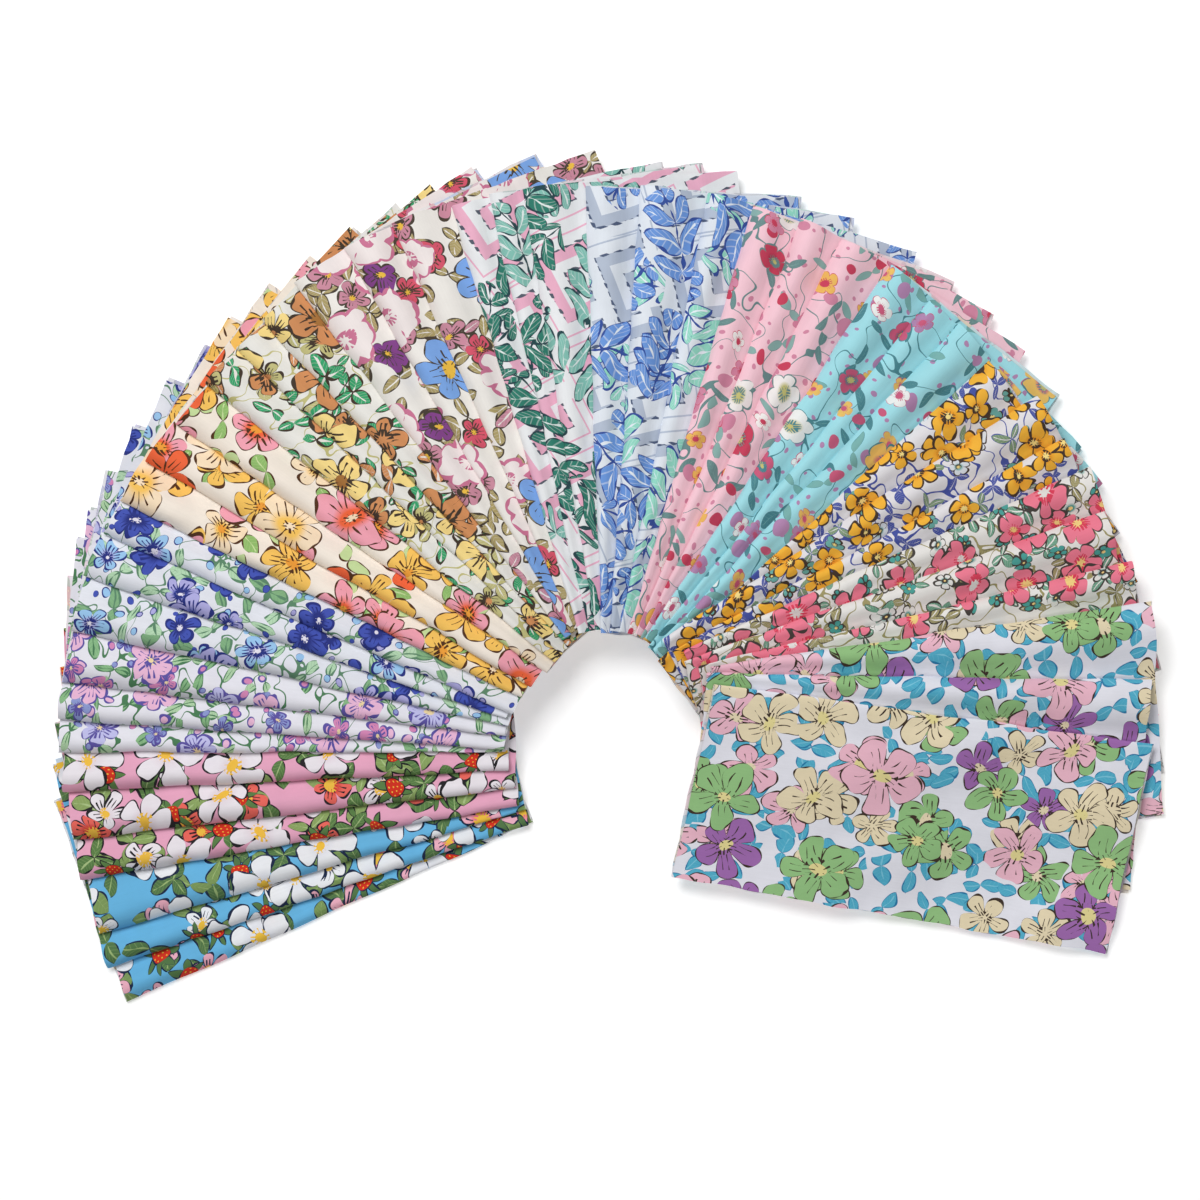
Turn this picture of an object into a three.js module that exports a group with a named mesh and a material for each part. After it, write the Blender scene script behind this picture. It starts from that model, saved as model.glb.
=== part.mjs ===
// A fan of forty-two cotton squares, three of each of fourteen prints. Each square is folded once in half.
// They lie on each other like shingles round an open middle, each one turned a few degrees clockwise from
// the one beneath, with its fold leading and its two cut edges tucked under the squares that follow.

import * as THREE from "three";

// Sizes in millimetres.
const SQUARE = 254; // the cut side of a square, 10 inches
const LAYER = 1; // thickness of the cloth, as each of the two layers of a folded square
const LAYER_GAP = 0.35; // air between the two layers
const PILE_GAP = 0.45; // air between a folded square and the one it lies on
const INNER_WIDTH = 113; // fold to cut edges, seen from above, at the end beside the open middle
const OUTER_WIDTH = 123; // the same at the rim, where the cloth lies flatter
const END_LEAN = 4; // degrees by which a square's ends lean clockwise from a right angle with its fold
const FOLD_DEPTH = 1.2; // how far the round of the fold reaches across the square
const EDGE_STEP = 2.5; // the most that the upper cut edge lies short of the lower one
const WAVER = 1.2; // the most that the round of a fold strays outwards from a straight line

// The fourteen prints in the order in which they are laid, the undermost first, and their three squares.
// bearing: the way each fold points outwards, in degrees counterclockwise from +X.
// lead: how far each fold's line passes the fan's centre, on its counterclockwise side.
// reach: how far out from the centre each fold ends.
const PRINTS = [
  {
    name: "blue_strawberry",
    colour: 0x79bde6,
    bearing: [203.8, 198.9, 196.2],
    lead: [28, 33, 27.5],
    reach: [315, 315, 312],
  },
  {
    name: "pink_strawberry",
    colour: 0xe4b1cf,
    bearing: [189.8, 186.6, 182.8],
    lead: [30, 23.5, 16.5],
    reach: [312, 311, 313],
  },
  {
    name: "lilac_sprig",
    colour: 0xe4e2ee,
    bearing: [180, 176.3, 173],
    lead: [9, 11, 7],
    reach: [314, 314, 313],
  },
  {
    name: "white_and_blue",
    colour: 0xe1e4f1,
    bearing: [167.8, 161.4, 156.4],
    lead: [6, 9, 10],
    reach: [312, 313, 310],
  },
  {
    name: "gold_and_orange",
    colour: 0xf6d9a4,
    bearing: [154, 149.7, 146.2],
    lead: [2, -2, -10],
    reach: [309, 307, 304],
  },
  {
    name: "cream_and_green",
    colour: 0xe6e2d2,
    bearing: [141.6, 136.7, 133.3],
    lead: [-14, -15, -18],
    reach: [305, 306, 308],
  },
  {
    name: "cream_and_blue",
    colour: 0xeee6de,
    bearing: [127.4, 120.6, 114.2],
    lead: [-14, -11, -7],
    reach: [314, 316, 317],
  },
  {
    name: "teal_and_pink",
    colour: 0x9fc9c6,
    bearing: [106.6, 102.9, 99.4],
    lead: [0, -2, -2],
    reach: [315, 316, 315],
  },
  {
    name: "blue_and_mint",
    colour: 0xbcd3e8,
    bearing: [91.9, 86, 78.5],
    lead: [3, 4, 6.5],
    reach: [313, 314, 314],
  },
  {
    name: "pink_berry",
    colour: 0xf1bccb,
    bearing: [73.5, 68.2, 63.1],
    lead: [7, 8, 10],
    reach: [313, 314, 312],
  },
  {
    name: "aqua_berry",
    colour: 0x8fd6e3,
    bearing: [56.7, 50.8, 46.8],
    lead: [14, 15.5, 16],
    reach: [312, 307, 307],
  },
  {
    name: "white_and_yellow",
    colour: 0xefe0c0,
    bearing: [42, 33, 28.4],
    lead: [14, 30, 26],
    reach: [303, 309, 308],
  },
  {
    name: "white_and_rose",
    colour: 0xf2cdd2,
    bearing: [24.3, 19.5, 13.5],
    lead: [27, 26.5, 27],
    reach: [312, 308, 312],
  },
  {
    name: "pastel_bloom",
    colour: 0xd9cbe2,
    bearing: [8.2, -1, -8],
    lead: [31.5, 37, 38],
    reach: [316, 308, 308],
  },
];

// The heights are kept in a map of rings round the fan's centre, cut into cells by spokes. Radii in
// millimetres, angles in degrees counterclockwise from +X.
const RINGS = [46, 74, 125, 215, 348];
const FIRST_SPOKE = -92;
const SPOKE_STEP = 14;
const SPOKES = 25;

const PITCH = 2 * LAYER + LAYER_GAP + PILE_GAP; // how far each square lies above the one beneath
const DROOP = 0.004; // how sharply a stretch of cloth with nothing beneath it curves down, per millimetre
const SETTLING_ROUNDS = 400;
const TESTS_ALONG = 16; // steps between the places where a square is kept off the table, along its fold
const TESTS_ACROSS = 8; // the same from its fold to its cut edges
const CLOSE_ENOUGH = 1e-5; // how far below the table a square may still come, in pitches
const SNAP = 0.01; // places nearer to a line than this lie on it
const FOLD_TURNS = [45, 90, 135]; // degrees round the outside of the fold

const degrees = Math.PI / 180;

// A share between 0 and 1 that is uneven from one number to the next, and the same every time.
const unevenShare = (number) => 0.5 + 0.5 * Math.sin(2.1 * number);

// One folded square as seen from above. Across is its way from the fold to the cut edges.
function makeSquare(print, turn, order) {
  const bearing = print.bearing[turn] * degrees;
  const out = new THREE.Vector2(Math.cos(bearing), Math.sin(bearing));
  const clockwise = new THREE.Vector2(out.y, -out.x);
  const across = clockwise.clone().rotateAround(new THREE.Vector2(), -END_LEAN * degrees);
  const foot = clockwise.clone().multiplyScalar(-print.lead[turn]);
  return {
    name: print.name + "_" + (turn + 1),
    colour: print.colour,
    order,
    innerEnd: foot.clone().addScaledVector(out, print.reach[turn] - SQUARE),
    outerEnd: foot.clone().addScaledVector(out, print.reach[turn]),
    across,
    edgeStep: EDGE_STEP * unevenShare(order),
  };
}

// A place on a square, at s of the way from its inner end to its outer end and so far across it.
function placeOn(square, s, distance) {
  return square.innerEnd.clone().lerp(square.outerEnd, s).addScaledVector(square.across, distance);
}

// The four corners of a layer, counterclockwise from above. The first side is the cut edge, then come the
// outer end, the fold and the inner end.
function outlineOf(square, edgeInset) {
  return [
    placeOn(square, 0, INNER_WIDTH - edgeInset),
    placeOn(square, 1, OUTER_WIDTH - edgeInset),
    placeOn(square, 1, FOLD_DEPTH),
    placeOn(square, 0, FOLD_DEPTH),
  ];
}

// The map, as rings of nodes and the triangles between them. Landed is how many of the squares, counted
// from the undermost, have come down to the table by the time the fan has turned that far round. A square
// lies one pitch higher for each one that has landed since.
function makeMap() {
  const nodes = RINGS.map((radius) =>
    Array.from({ length: SPOKES }, (_, spoke) => {
      const angle = (FIRST_SPOKE + spoke * SPOKE_STEP) * degrees;
      const place = new THREE.Vector2(Math.cos(angle), Math.sin(angle)).multiplyScalar(radius);
      return { place, landed: 0 };
    }),
  );
  const triangles = [];
  for (let ring = 0; ring < RINGS.length - 1; ring++) {
    for (let spoke = 0; spoke < SPOKES - 1; spoke++) {
      const near = nodes[ring][spoke];
      const far = nodes[ring + 1][spoke];
      const nextNear = nodes[ring][spoke + 1];
      const nextFar = nodes[ring + 1][spoke + 1];
      triangles.push([near, far, nextFar], [near, nextFar, nextNear]);
    }
  }
  return { nodes, triangles };
}

// The triangle of the map that a place lies in, with the share that each of its corners has in that place.
function locate(map, place) {
  for (const corners of map.triangles) {
    const [a, b, c] = corners.map((node) => node.place.clone().sub(place));
    const shares = [b.cross(c), c.cross(a), a.cross(b)];
    const whole = shares[0] + shares[1] + shares[2];
    if (Math.min(...shares) >= -SNAP) return { corners, shares: shares.map((share) => share / whole) };
  }
  throw new Error("a place lies outside the map");
}

// How many squares have landed at a place found on the map.
function landedAt({ corners, shares }) {
  return corners.reduce((sum, node, n) => sum + node.landed * shares[n], 0);
}

// Finds how many squares have landed at each node. Between neighbours the cloth runs smooth and droops a
// little, and no square may go below the table or rise above the pile of those before it.
function settle(map, squares) {
  const tests = squares.flatMap((square) => testsOn(map, square));
  for (let round = 0; round < SETTLING_ROUNDS; round++) {
    smooth(map.nodes, squares.length - 1);
    keepOffTable(tests);
  }
  while (keepOffTable(tests) > CLOSE_ENOUGH);
}

// The places on a square where it is kept off the table.
function testsOn(map, square) {
  const tests = [];
  for (let n = 0; n <= TESTS_ALONG; n++) {
    const s = n / TESTS_ALONG;
    const width = THREE.MathUtils.lerp(INNER_WIDTH, OUTER_WIDTH, s);
    for (let m = 0; m <= TESTS_ACROSS; m++) {
      const spot = locate(map, placeOn(square, s, (width * m) / TESTS_ACROSS));
      tests.push({ spot, order: square.order });
    }
  }
  return tests;
}

// Draws each node towards its neighbours on its ring and its spoke.
function smooth(nodes, most) {
  nodes.forEach((ring, i) =>
    ring.forEach((node, j) => {
      const around = [ring[j - 1], ring[j + 1], nodes[i - 1]?.[j], nodes[i + 1]?.[j]].filter(Boolean);
      let pull = DROOP / PITCH;
      let weight = 0;
      for (const other of around) {
        const share = 1 / node.place.distanceToSquared(other.place);
        pull += share * other.landed;
        weight += share;
      }
      node.landed = THREE.MathUtils.clamp(pull / weight, 0, most);
    }),
  );
}

// Where a square would go below the table, brings down the nodes round the place. Returns the worst excess.
function keepOffTable(tests) {
  let worst = 0;
  for (const { spot, order } of tests) {
    const excess = landedAt(spot) - order;
    if (excess <= 0) continue;
    worst = Math.max(worst, excess);
    const norm = spot.shares.reduce((sum, share) => sum + share * share, 0);
    spot.corners.forEach((node, n) => {
      node.landed = Math.max(0, node.landed - (excess * spot.shares[n]) / norm);
    });
  }
  return worst;
}

// How far a place lies to the left of the line from one place to another.
function leftOf(from, to, place) {
  return to.clone().sub(from).normalize().cross(place.clone().sub(from));
}

// The part of a polygon to the left of the line from one place to another.
function cutOff(polygon, from, to) {
  const kept = [];
  polygon.forEach((point, n) => {
    const next = polygon[(n + 1) % polygon.length];
    const here = leftOf(from, to, point.place);
    const there = leftOf(from, to, next.place);
    if (here > -SNAP) kept.push(point);
    if (Math.min(here, there) > -SNAP || Math.max(here, there) < SNAP) return;
    const share = here / (here - there);
    kept.push({
      place: point.place.clone().lerp(next.place, share),
      landed: THREE.MathUtils.lerp(point.landed, next.landed, share),
    });
  });
  return kept;
}

// The map's triangles cut off at an outline, as polygons.
function cutMap(map, outline) {
  return map.triangles
    .map((corners) =>
      outline.reduce((polygon, from, n) => cutOff(polygon, from, outline[(n + 1) % outline.length]), corners),
    )
    .filter((polygon) => polygon.length > 2);
}

// The polygons' points along the line from one place to another, in order.
function pointsAlong(polygons, from, to) {
  const way = to.clone().sub(from).normalize();
  const distance = (point) => way.dot(point.place.clone().sub(from));
  return polygons
    .flat()
    .filter((point) => Math.abs(leftOf(from, to, point.place)) < SNAP)
    .sort((a, b) => distance(a) - distance(b))
    .filter((point, n, points) => n === 0 || distance(point) - distance(points[n - 1]) > SNAP / 10);
}

const raised = (point, order, lift) =>
  new THREE.Vector3(point.place.x, point.place.y, PITCH * (order - point.landed) + lift);

// The faces between two rows of points, seen from the side where the first row runs below from left to right.
function strip(lower, upper) {
  if (lower.length !== upper.length) throw new Error("two rows of points differ in length");
  return lower.slice(1).flatMap((point, n) => [
    [lower[n], point, upper[n + 1]],
    [lower[n], upper[n + 1], upper[n]],
  ]);
}

// The faces of one layer, open along the fold, and the points along that side from the inner end outwards.
function makeLayer(map, square, edgeInset, lift) {
  const outline = outlineOf(square, edgeInset);
  const polygons = cutMap(map, outline);
  const below = (point) => raised(point, square.order, lift);
  const above = (point) => raised(point, square.order, lift + LAYER);
  const faces = [];
  for (const polygon of polygons) {
    for (let n = 2; n < polygon.length; n++) {
      faces.push([polygon[0], polygon[n - 1], polygon[n]].map(above));
      faces.push([polygon[0], polygon[n], polygon[n - 1]].map(below));
    }
  }
  const sides = outline.map((from, n) => pointsAlong(polygons, from, outline[(n + 1) % outline.length]));
  const [cutEdge, outerEnd, fold, innerEnd] = sides;
  for (const side of [cutEdge, outerEnd, innerEnd]) {
    faces.push(...strip(side.map(below), side.map(above)));
  }
  return { faces, fold: fold.reverse() };
}

// The rows of points round the outside of the fold, from the top to the underside.
function foldRows(map, square, under, over) {
  const thickness = 2 * LAYER + LAYER_GAP;
  const rows = [under.map((point) => raised(point, square.order, 0))];
  for (const turn of FOLD_TURNS) {
    const lift = (thickness * (1 - Math.cos(turn * degrees))) / 2;
    const row = under.map((point, n) => {
      const depth = (FOLD_DEPTH + WAVER * unevenShare(n + square.order)) * Math.sin(turn * degrees);
      const place = point.place.clone().addScaledVector(square.across, -depth);
      return raised({ place, landed: landedAt(locate(map, place)) }, square.order, lift);
    });
    rows.push(row);
  }
  rows.push(over.map((point) => raised(point, square.order, thickness)));
  return rows.reverse();
}

// The closed body of a folded square: two layers, joined by the round of the fold.
function foldedBody(map, square) {
  const lower = makeLayer(map, square, 0, 0);
  const upper = makeLayer(map, square, square.edgeStep, LAYER + LAYER_GAP);
  const rows = foldRows(map, square, lower.fold, upper.fold);
  const hollowFloor = lower.fold.map((point) => raised(point, square.order, LAYER));
  const hollowRoof = upper.fold.map((point) => raised(point, square.order, LAYER + LAYER_GAP));
  const faces = [...lower.faces, ...upper.faces, ...strip(hollowFloor, hollowRoof)];
  for (let row = 1; row < rows.length; row++) faces.push(...strip(rows[row - 1], rows[row]));

  // The two ends of the fold, each a fan of faces round the hollow.
  for (const end of [0, lower.fold.length - 1]) {
    const [top, upperRound, middle, lowerRound, bottom] = rows.map((row) => row[end]);
    const floor = hollowFloor[end];
    const roof = hollowRoof[end];
    const fan = [
      [floor, lowerRound, bottom],
      [floor, middle, lowerRound],
      [floor, roof, middle],
      [roof, upperRound, middle],
      [roof, top, upperRound],
    ];
    faces.push(...(end === 0 ? fan : fan.map((face) => face.reverse())));
  }
  const body = new THREE.BufferGeometry().setFromPoints(faces.flat());
  body.computeVertexNormals();
  return body;
}

const squares = PRINTS.flatMap((print, row) =>
  print.bearing.map((_, turn) => makeSquare(print, turn, row * print.bearing.length + turn)),
);
const map = makeMap();
settle(map, squares);
const fan = new THREE.Group();
for (const square of squares) {
  const material = new THREE.MeshStandardMaterial({ color: square.colour, roughness: 0.9, metalness: 0 });
  const mesh = new THREE.Mesh(foldedBody(map, square), material);
  mesh.name = square.name;
  fan.add(mesh);
}

// The fan stands on z = 0 with the middle of its box at the origin.
const box = new THREE.Box3().setFromObject(fan);
const middle = box.getCenter(new THREE.Vector3());
const part = new THREE.Group();
fan.position.set(-middle.x, -middle.y, -box.min.z);
part.add(fan);

export default part;
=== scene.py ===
"""A fan of forty-two folded cotton squares in fourteen floral prints, laid out for a photograph."""

import functools
import math

import bpy
import numpy as np
from bpy.props import FloatProperty, FloatVectorProperty, PointerProperty
from bpy.types import Operator, Panel, PropertyGroup
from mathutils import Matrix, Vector
from mathutils.bvhtree import BVHTree


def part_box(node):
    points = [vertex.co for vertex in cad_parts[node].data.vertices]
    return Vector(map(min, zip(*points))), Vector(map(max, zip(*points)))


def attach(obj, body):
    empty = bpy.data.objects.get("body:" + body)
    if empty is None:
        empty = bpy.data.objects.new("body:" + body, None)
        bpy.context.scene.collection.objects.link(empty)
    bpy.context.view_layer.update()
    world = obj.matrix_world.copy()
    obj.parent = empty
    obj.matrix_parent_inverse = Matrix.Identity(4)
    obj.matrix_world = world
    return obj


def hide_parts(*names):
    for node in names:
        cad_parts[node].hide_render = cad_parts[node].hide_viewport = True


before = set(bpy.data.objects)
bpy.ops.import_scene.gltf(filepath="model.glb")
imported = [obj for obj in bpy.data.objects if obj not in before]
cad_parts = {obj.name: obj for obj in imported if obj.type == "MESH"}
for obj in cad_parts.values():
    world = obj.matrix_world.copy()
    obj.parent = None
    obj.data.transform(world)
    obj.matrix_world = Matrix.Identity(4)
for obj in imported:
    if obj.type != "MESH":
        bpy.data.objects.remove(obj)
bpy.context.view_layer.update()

bl_info = {
    "name": "Fan of Folded Fabric Squares",
    "version": (1, 0, 0),
    "blender": (4, 5, 0),
    "location": "View3D > Sidebar > Fabric Fan",
    "description": "Lays folded cotton squares in a fan and prints them with small flowers",
    "category": "Object",
}

MM = 0.001

# The layout of the squares, in millimetres and degrees: the same values as the solids have.
SQUARE = 254
LAYER = 1
LAYER_GAP = 0.35
PILE_GAP = 0.45
PITCH = 2 * LAYER + LAYER_GAP + PILE_GAP
INNER_WIDTH = 113
OUTER_WIDTH = 123
END_LEAN = 4
EDGE_STEP = 2.5
FAN_CENTRE = (0.789, -90.577)

# For each print, undermost first, its three folds: (bearing, lead past the centre, reach).
LAYOUT = {
    "blue_strawberry": ((203.8, 28, 315), (198.9, 33, 315), (196.2, 27.5, 312)),
    "pink_strawberry": ((189.8, 30, 312), (186.6, 23.5, 311), (182.8, 16.5, 313)),
    "lilac_sprig": ((180, 9, 314), (176.3, 11, 314), (173, 7, 313)),
    "white_and_blue": ((167.8, 6, 312), (161.4, 9, 313), (156.4, 10, 310)),
    "gold_and_orange": ((154, 2, 309), (149.7, -2, 307), (146.2, -10, 304)),
    "cream_and_green": ((141.6, -14, 305), (136.7, -15, 306), (133.3, -18, 308)),
    "cream_and_blue": ((127.4, -14, 314), (120.6, -11, 316), (114.2, -7, 317)),
    "teal_and_pink": ((106.6, 0, 315), (102.9, -2, 316), (99.4, -2, 315)),
    "blue_and_mint": ((91.9, 3, 313), (86, 4, 314), (78.5, 6.5, 314)),
    "pink_berry": ((73.5, 7, 313), (68.2, 8, 314), (63.1, 10, 312)),
    "aqua_berry": ((56.7, 14, 312), (50.8, 15.5, 307), (46.8, 16, 307)),
    "white_and_yellow": ((42, 14, 303), (33, 30, 309), (28.4, 26, 308)),
    "white_and_rose": ((24.3, 27, 312), (19.5, 26.5, 308), (13.5, 27, 312)),
    "pastel_bloom": ((8.2, 31.5, 316), (-1, 37, 308), (-8, 38, 308)),
}
PRINTS = list(LAYOUT)


def uneven(number):
    """A share from 0 to 1 that is uneven from one number to the next, and the same every time."""
    return 0.5 + 0.5 * np.sin(2.1 * number)


def waves(across, along, lengths, seed):
    """Gentle waves of mixed directions, from -1 to 1, with crests so many millimetres apart."""
    total = 0
    for n, length in enumerate(lengths):
        way = 2.4 * n + 1.7 * seed
        run = across * np.cos(way) + along * np.sin(way)
        total = total + np.sin(2 * math.pi * run / length + 3.1 * seed + n)
    return total / len(lengths)


class Laying:
    """Where one folded square lies, in millimetres from the fan's centre."""

    def __init__(self, print_name, turn, order):
        bearing, lead, reach = LAYOUT[print_name][turn]
        angle = math.radians(bearing)
        lean = angle - math.radians(90 + END_LEAN)
        out = np.array((math.cos(angle), math.sin(angle)))
        self.print_name = print_name
        self.node = f"{print_name}_{turn + 1}"
        self.piece = f"{print_name}_cloth_{turn + 1}"
        self.order = order
        self.out = out
        self.across = np.array((math.cos(lean), math.sin(lean)))
        self.outer = reach * out - lead * np.array((out[1], -out[0]))
        self.inner = self.outer - SQUARE * out

    def place(self, along, across):
        """The places seen from above at shares of the length from the inner end, so far across."""
        line = self.inner + along[..., None] * (self.outer - self.inner)
        return line + across[..., None] * self.across

    def room_beside(self, other, along):
        """How far this fold lies from another square's fold, seen from above."""
        start = self.place(along, 0 * along) - other.inner
        return np.abs(start[..., 0] * other.out[1] - start[..., 1] * other.out[0])


LAYINGS = [Laying(name, turn, 3 * row + turn) for row, name in enumerate(PRINTS) for turn in range(3)]


class Slope:
    """The slope that all the squares follow, read off the undersides of the solids and smoothed.

    It is kept as how many squares, counted from the undermost, have come down to the table by there."""

    CELL = 4
    CELLS = 173

    # How far the slope sways gently, in squares, and the lengths of its waves in millimetres.
    SWAY = 0.16
    SWAY_LENGTHS = (83, 61, 118)

    def __init__(self):
        self.landed = np.zeros((self.CELLS, self.CELLS))
        self.undermost = np.full((self.CELLS, self.CELLS), -1.0)
        for laying in LAYINGS:
            self.read(laying)
        known = self.undermost >= 0
        self.landed = blurred(self.landed, known, 5)
        side = self.CELL * np.arange(self.CELLS)
        self.landed += self.SWAY * waves(side[None, :], side[:, None], self.SWAY_LENGTHS, 2)
        everywhere = np.full_like(known, True)
        for _ in range(4):
            below = np.where(known, np.maximum(self.landed - self.undermost, 0), 0)
            self.landed -= 1.2 * blurred(widened(below, 3), everywhere, 3)

    def read(self, laying):
        """Casts rays up at one solid where no square has been met yet."""
        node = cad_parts[laying.node].data
        tree = BVHTree.FromPolygons([v.co for v in node.vertices], [p.vertices for p in node.polygons])
        low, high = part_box(laying.node)
        for row in self.cells(low.y, high.y, 1):
            for column in self.cells(low.x, high.x, 0):
                if self.undermost[row, column] >= 0:
                    continue
                x, y = self.middle(column, 0), self.middle(row, 1)
                hit = tree.ray_cast(Vector((x * MM, y * MM, -1)), Vector((0, 0, 1)))[0]
                if hit:
                    self.undermost[row, column] = laying.order
                    self.landed[row, column] = laying.order - hit.z / MM / PITCH

    def middle(self, cell, axis):
        """A cell's middle, in millimetres from the scene's origin."""
        return FAN_CENTRE[axis] + self.CELL * (cell - (self.CELLS - 1) / 2)

    def cells(self, low, high, axis):
        """The cells between two places, given in metres from the scene's origin."""
        middles = self.middle(np.arange(self.CELLS), axis) * MM
        return np.flatnonzero((middles > low - self.CELL * MM) & (middles < high + self.CELL * MM))

    def height(self, order, places):
        """How high the underside of a square lies at places given from the fan's centre."""
        spot = places / self.CELL + (self.CELLS - 1) / 2
        corner = np.floor(spot).astype(int)
        right, up = np.moveaxis(spot - corner, -1, 0)
        column, row = np.moveaxis(corner, -1, 0)
        near = self.landed[row, column] * (1 - right) + self.landed[row, column + 1] * right
        far = self.landed[row + 1, column] * (1 - right) + self.landed[row + 1, column + 1] * right
        return np.maximum(PITCH * (order - near * (1 - up) - far * up), 0)


def shifted(field, fill):
    """A field and its copies moved by one cell each way, with a value that fills in at the border."""
    padded = np.pad(field, 1, constant_values=fill)
    rows, columns = field.shape
    return [padded[r : r + rows, c : c + columns] for r in range(3) for c in range(3)]


def blurred(field, known, rounds):
    """The mean of each cell and the known ones round it, over and over. It spreads past them too."""
    for _ in range(rounds):
        weight = sum(shifted(known.astype(float), 0))
        total = sum(shifted(np.where(known, field, 0), 0))
        field = np.where(weight > 0, total / np.maximum(weight, 1), field)
        known = weight > 0
    return field


def widened(field, rounds):
    """The highest value in the cells round each cell."""
    for _ in range(rounds):
        field = np.maximum.reduce(shifted(field, 0))
    return field


# How finely a square is divided, along the fold and out from it on each side.
CELLS_ALONG = 52
CELLS_OUT = 26

# The sharpest turn, in degrees, that still shows as round: the cut edges show as edges.
SMOOTH_ANGLE = 50

# How strongly the cells crowd towards the fold, where the cloth bends the most.
CROWDING = 1.8

# The two layers of cloth, in millimetres above a square's underside.
LOWER_HEIGHT = 0.5
UPPER_HEIGHT = 1.85
FOLD_HEIGHT = (LOWER_HEIGHT + UPPER_HEIGHT) / 2

# How far short of the next square's fold a roll of cloth ends, in millimetres.
FOLD_ROOM = 3

# How far out from a fold its waver is mostly felt, in millimetres.
WAVER_REACH = 40

# How much further one layer reaches than the other at each end, in millimetres at the most.
SLIP = 1.6

# Where a roll of cloth is highest, how full it is, and how unevenly high along the fold.
ROLL_LEAN = 0.8
ROLL_FULLNESS = 1.1
ROLL_UNEVENNESS = 0.35

# How far out from the top square's fold its ridges have their full height, in millimetres.
RIDGES_FULL = 14

# How sharply the cloth turns in a fold, and how short the turn is in the lower layer, in millimetres.
FOLD_SQUARENESS = 2.4
LOWER_SHOULDER = 1.5


@functools.cache
def slope():
    """The slope, made once for all the squares."""
    return Slope()


def shoulder(out, length):
    """The round of a fold, from 0 at the fold to 1 where the cloth has become flat."""
    left = np.clip(1 - out / length, 0, 1)
    return (1 - left**FOLD_SQUARENESS) ** (1 / FOLD_SQUARENESS)


def cloth_shape(laying, beyond, along, side, out, sizes):
    """The places of a folded square's middle surface, in millimetres.

    Along is the share of the length from the inner end, side is 1 for the upper layer and -1 for the
    lower one, and out is the share of the way from the fold to the cut edge."""
    upper = side > 0
    order = laying.order
    width = INNER_WIDTH + along * (OUTER_WIDTH - INNER_WIDTH)
    width = width - np.where(upper, EDGE_STEP * uneven(order), 0)
    across = out * width
    run = along * SQUARE
    waver = sizes.fold_waver / MM * waves(run, 0 * run, (53, 97, 31), order)
    waver = waver * np.exp(-across / WAVER_REACH)
    cut = sizes.edge_waver / MM * waves(run, 0 * run, (19, 43, 71), order + 50 * upper) * out**4
    ends = sizes.edge_waver / MM * waves(across, 0 * run, (17, 33, 58), order + 80 * upper)
    slip = SLIP * (uneven(1.9 * order + 2) - 0.5) * np.where(upper, 1, -1)
    share = along + (ends + slip * np.minimum(out * 6, 1)) * (2 * along - 1) / SQUARE
    places = laying.place(share, across + waver + cut)
    height = slope().height(order, places)

    if beyond is None:
        room = sizes.free_room / MM
    else:
        room = np.maximum(laying.room_beside(beyond, along) - FOLD_ROOM, 1)
    roll = np.clip(across / room, 0, 1)
    puff = np.minimum(sizes.puff / MM, sizes.puff_share * room)
    puff = puff * np.sin(math.pi * roll**ROLL_LEAN) ** ROLL_FULLNESS
    puff = puff * (1 + ROLL_UNEVENNESS * waves(run, across, (37, 71, 53), order + 7))
    rumple = sizes.rumple / MM * waves(run, across, (29, 47, 83, 61), order + 11 * upper)
    if beyond is None:
        puff = sizes.top_ridges / MM * np.maximum(waves(run, 1.7 * across, (88, 140, 63), 4.3) + 0.3, 0)
        puff = puff * np.minimum(across / RIDGES_FULL, 1) * np.clip(along * 2.2, 0, 1)
    rise = shoulder(across, np.where(upper, sizes.shoulder / MM, LOWER_SHOULDER))
    top = (UPPER_HEIGHT - FOLD_HEIGHT) * rise + puff + rumple * rise
    bottom = (LOWER_HEIGHT - FOLD_HEIGHT) * rise + np.maximum(rumple, -0.2) * rise
    height = height + FOLD_HEIGHT + np.where(upper, top, bottom)
    return np.concatenate([places + FAN_CENTRE, height[..., None]], axis=-1)


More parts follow.
